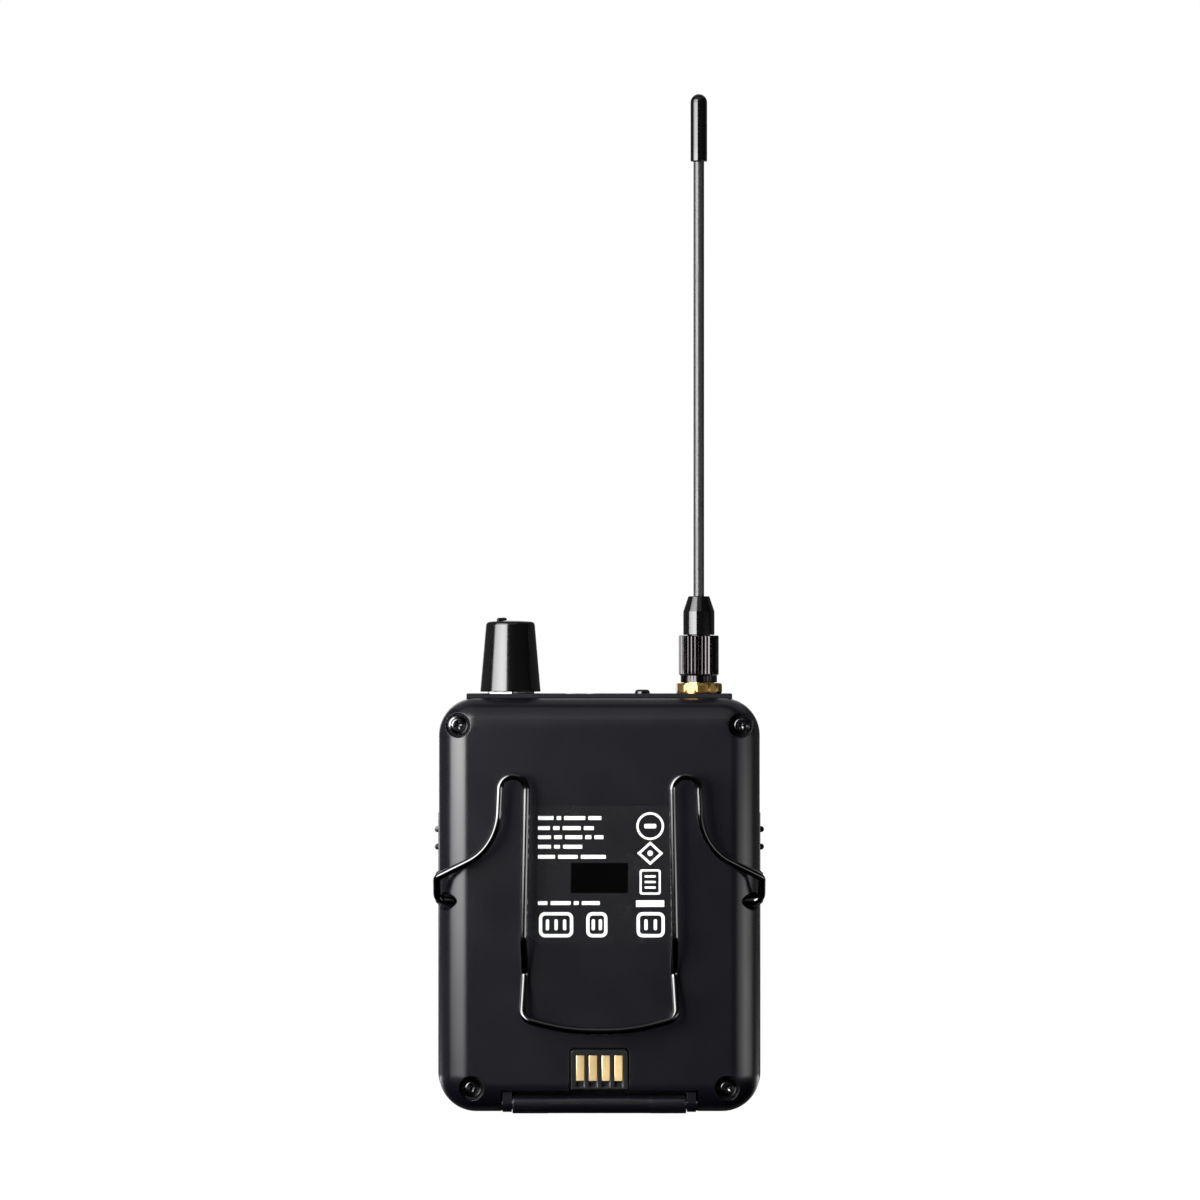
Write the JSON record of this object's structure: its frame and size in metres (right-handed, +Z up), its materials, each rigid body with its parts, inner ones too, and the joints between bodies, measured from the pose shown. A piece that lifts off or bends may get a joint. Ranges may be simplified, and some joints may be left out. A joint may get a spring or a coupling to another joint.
{
  "type": "bodypack radio unit",
  "caption": "Pocket-sized black bodypack with a bottom-hinged battery door, wire belt clip, round volume knob and screw-on whip antenna.",
  "frame": {"origin": "on the flat bottom face, centred left to right and front to back of the case", "axes": "+Z up along the antenna, +Y from the belt-clip side towards the display and battery door, +X right as seen from the clip side"},
  "size_m": [0.0662, 0.0293, 0.2034],
  "materials": {
    "case_plastic": "fine-grained satin black moulding",
    "gloss_black_plastic": "smooth black moulding",
    "label_film": "black printed film",
    "smoked_window": "smoked clear plastic",
    "display_glass": "dark display stack",
    "flex_film": "amber polyimide film",
    "circuit_board": "green solder mask",
    "chip_resin": "moulded resin",
    "tin_plate": "tin-plated sheet",
    "zinc_steel": "zinc-plated steel",
    "black_screw": "black oxide steel",
    "clip_wire": "black enamelled spring steel",
    "pin_steel": "ground steel",
    "gold_contact": "gold-plated brass",
    "nickel_brass": "nickel-plated brass",
    "cell_sleeve": "printed sleeve on a metal can",
    "white_plastic": "white fluoropolymer",
    "knob_plastic": "smooth satin black",
    "antenna_black": "semi-gloss black",
    "antenna_metal": "black chrome on brass",
    "antenna_sleeve": "smooth black sleeve",
    "cable_jacket": "black jacket",
    "button_rubber": "moulded silicone"
  },
  "bodies": {
    "case": {"back_shell": "case_plastic", "front_shell": "case_plastic", "top_panel": "case_plastic", "case_screws": "black_screw", "rating_label": "label_film", "serial_patch": "gloss_black_plastic", "contact_block": "gloss_black_plastic", "charge_contacts": "gold_contact", "display_window": "smoked_window", "display_module": "display_glass", "display_flex": "flex_film", "main_board": "circuit_board", "board_screws": "zinc_steel", "shield_can": "tin_plate", "board_chips": "chip_resin", "control_board": "circuit_board", "tact_switches": "tin_plate", "battery_left": "cell_sleeve", "battery_right": "cell_sleeve", "battery_springs": "zinc_steel", "battery_plates": "zinc_steel", "hinge_pin": "pin_steel", "volume_pot": "tin_plate", "pot_nut": "nickel_brass", "audio_jack": "gloss_black_plastic", "light_pipe": "smoked_window", "status_led": "white_plastic", "antenna_socket": "gold_contact", "socket_nut": "gold_contact", "socket_insulator": "white_plastic", "antenna_cable": "cable_jacket"},
    "door": {"battery_door": "case_plastic"},
    "latch_left": {"latch_left": "case_plastic"},
    "latch_right": {"latch_right": "case_plastic"},
    "clip": {"belt_clip": "clip_wire"},
    "knob": {"pot_shaft": "nickel_brass", "volume_knob": "knob_plastic"},
    "button_up": {"button_up": "button_rubber"},
    "button_down": {"button_down": "button_rubber"},
    "button_set": {"button_set": "button_rubber"},
    "antenna": {"antenna_boot": "antenna_black", "antenna_whip": "antenna_sleeve", "antenna_cap": "antenna_black", "antenna_pin": "gold_contact"},
    "coupling_nut": {"antenna_nut": "antenna_metal"}
  },
  "joints": [
    {"name": "door_hinge", "type": "hinge", "parent": "case", "child": "door", "pos_m": [0, -0.0083, 0.0017], "axis": [-1, 0, 0], "range_deg": [0, 110]},
    {"name": "latch_left_press", "type": "slide", "parent": "door", "child": "latch_left", "axis": [1, 0, 0], "range_m": [0, 0.001], "stiffness_N_per_m": 600},
    {"name": "latch_right_press", "type": "slide", "parent": "door", "child": "latch_right", "axis": [-1, 0, 0], "range_m": [0, 0.001], "stiffness_N_per_m": 600},
    {"name": "clip_flex", "type": "hinge", "parent": "case", "child": "clip", "pos_m": [0, -0.0092, 0.042], "axis": [-1, 0, 0], "range_deg": [0, 10], "stiffness_Nm_per_rad": 0.5},
    {"name": "volume_turn", "type": "hinge", "parent": "case", "child": "knob", "pos_m": [-0.0178, 0, 0.09], "axis": [0, 0, -1], "range_deg": [-8, 292]},
    {"name": "button_up_press", "type": "slide", "parent": "case", "child": "button_up", "axis": [0, -1, 0], "range_m": [0, 0.00035], "stiffness_N_per_m": 800},
    {"name": "button_down_press", "type": "slide", "parent": "case", "child": "button_down", "axis": [0, -1, 0], "range_m": [0, 0.00035], "stiffness_N_per_m": 800},
    {"name": "button_set_press", "type": "slide", "parent": "case", "child": "button_set", "axis": [0, -1, 0], "range_m": [0, 0.00035], "stiffness_N_per_m": 800},
    {"name": "antenna_lift", "type": "slide", "parent": "case", "child": "antenna", "axis": [0, 0, 1], "range_m": [0, 0.00494]},
    {"name": "coupling_turn", "type": "hinge", "parent": "antenna", "child": "coupling_nut", "pos_m": [0.0199, 0, 0.09], "axis": [0, 0, 1], "range_deg": [0, 2521]}
  ],
  "couplings": [
    {"joint": "coupling_turn", "follows": "antenna_lift", "rad_per_m": 8905.3}
  ]
}
